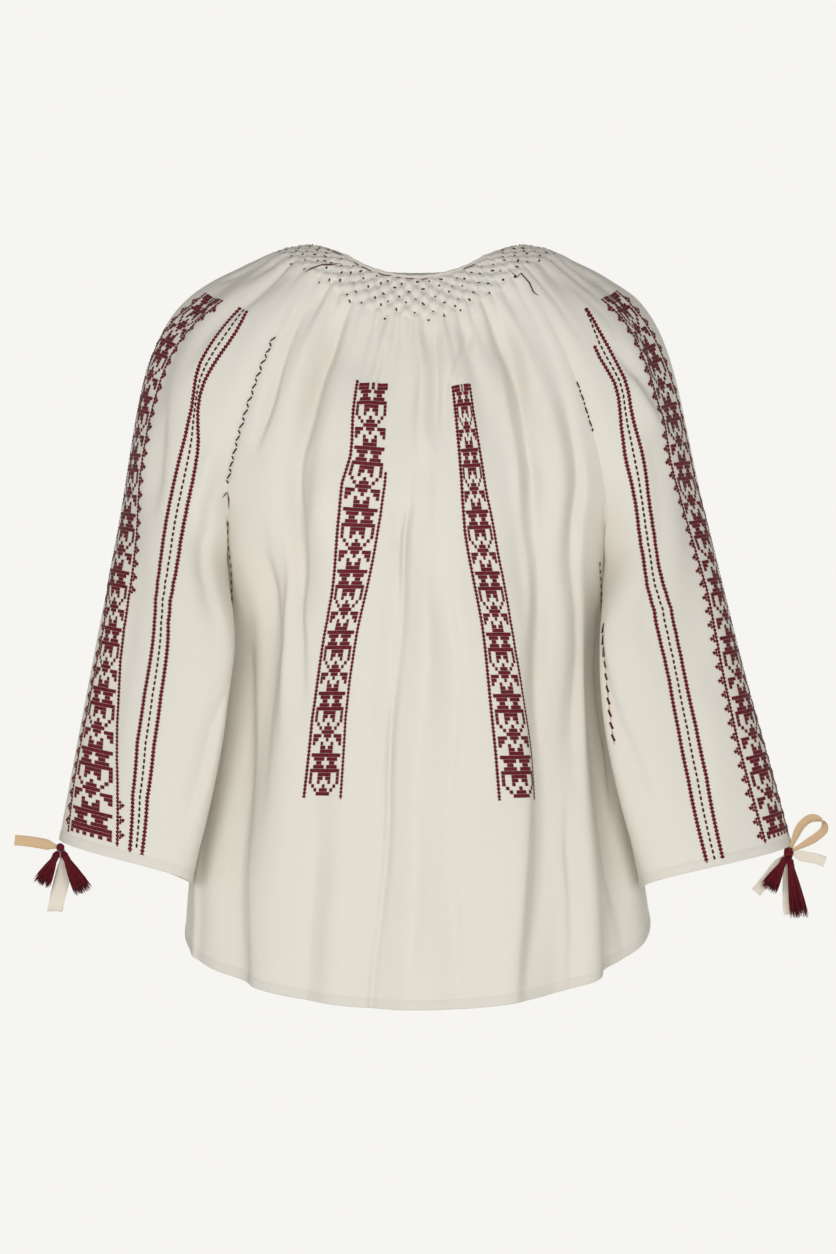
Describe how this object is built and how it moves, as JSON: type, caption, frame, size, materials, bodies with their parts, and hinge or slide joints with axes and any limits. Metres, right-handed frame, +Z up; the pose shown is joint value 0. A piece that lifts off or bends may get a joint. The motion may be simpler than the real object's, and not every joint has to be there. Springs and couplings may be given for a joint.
{
  "type": "embroidered blouse",
  "caption": "Off-white gathered cotton peasant blouse, filled out and open at neck, hem and cuffs, with raglan sleeves, a smocked neckline and red cross-bar embroidery; rigid, in one body",
  "frame": {"origin": "middle of the neck opening, level with its two highest points beside the neck", "axes": "+X is across the blouse to the viewer's right as seen from the front, -Y is the front, +Z is up"},
  "size_m": [0.7401, 0.2642, 0.6935],
  "materials": {
    "cotton": "matt plain-weave cotton",
    "red_thread": "soft twisted cotton thread",
    "tape": "matt woven cotton tape"
  },
  "bodies": {
    "root": {"front": "cotton", "back": "cotton", "sleeve_right": "cotton", "sleeve_left": "cotton", "gusset_right": "cotton", "gusset_left": "cotton", "neck_binding": "cotton", "tie_knot_left": "red_thread", "tie_knot_right": "red_thread", "tassel_outer_left": "red_thread", "tassel_inner_left": "red_thread", "tassel_inner_right": "red_thread", "tassel_outer_right": "red_thread", "tie_end_left": "tape", "tie_loop_left": "tape", "tie_end_right": "tape", "tie_loop_right": "tape", "tie_back_end_right": "tape", "tie_front_end_right": "tape"}
  },
  "joints": []
}
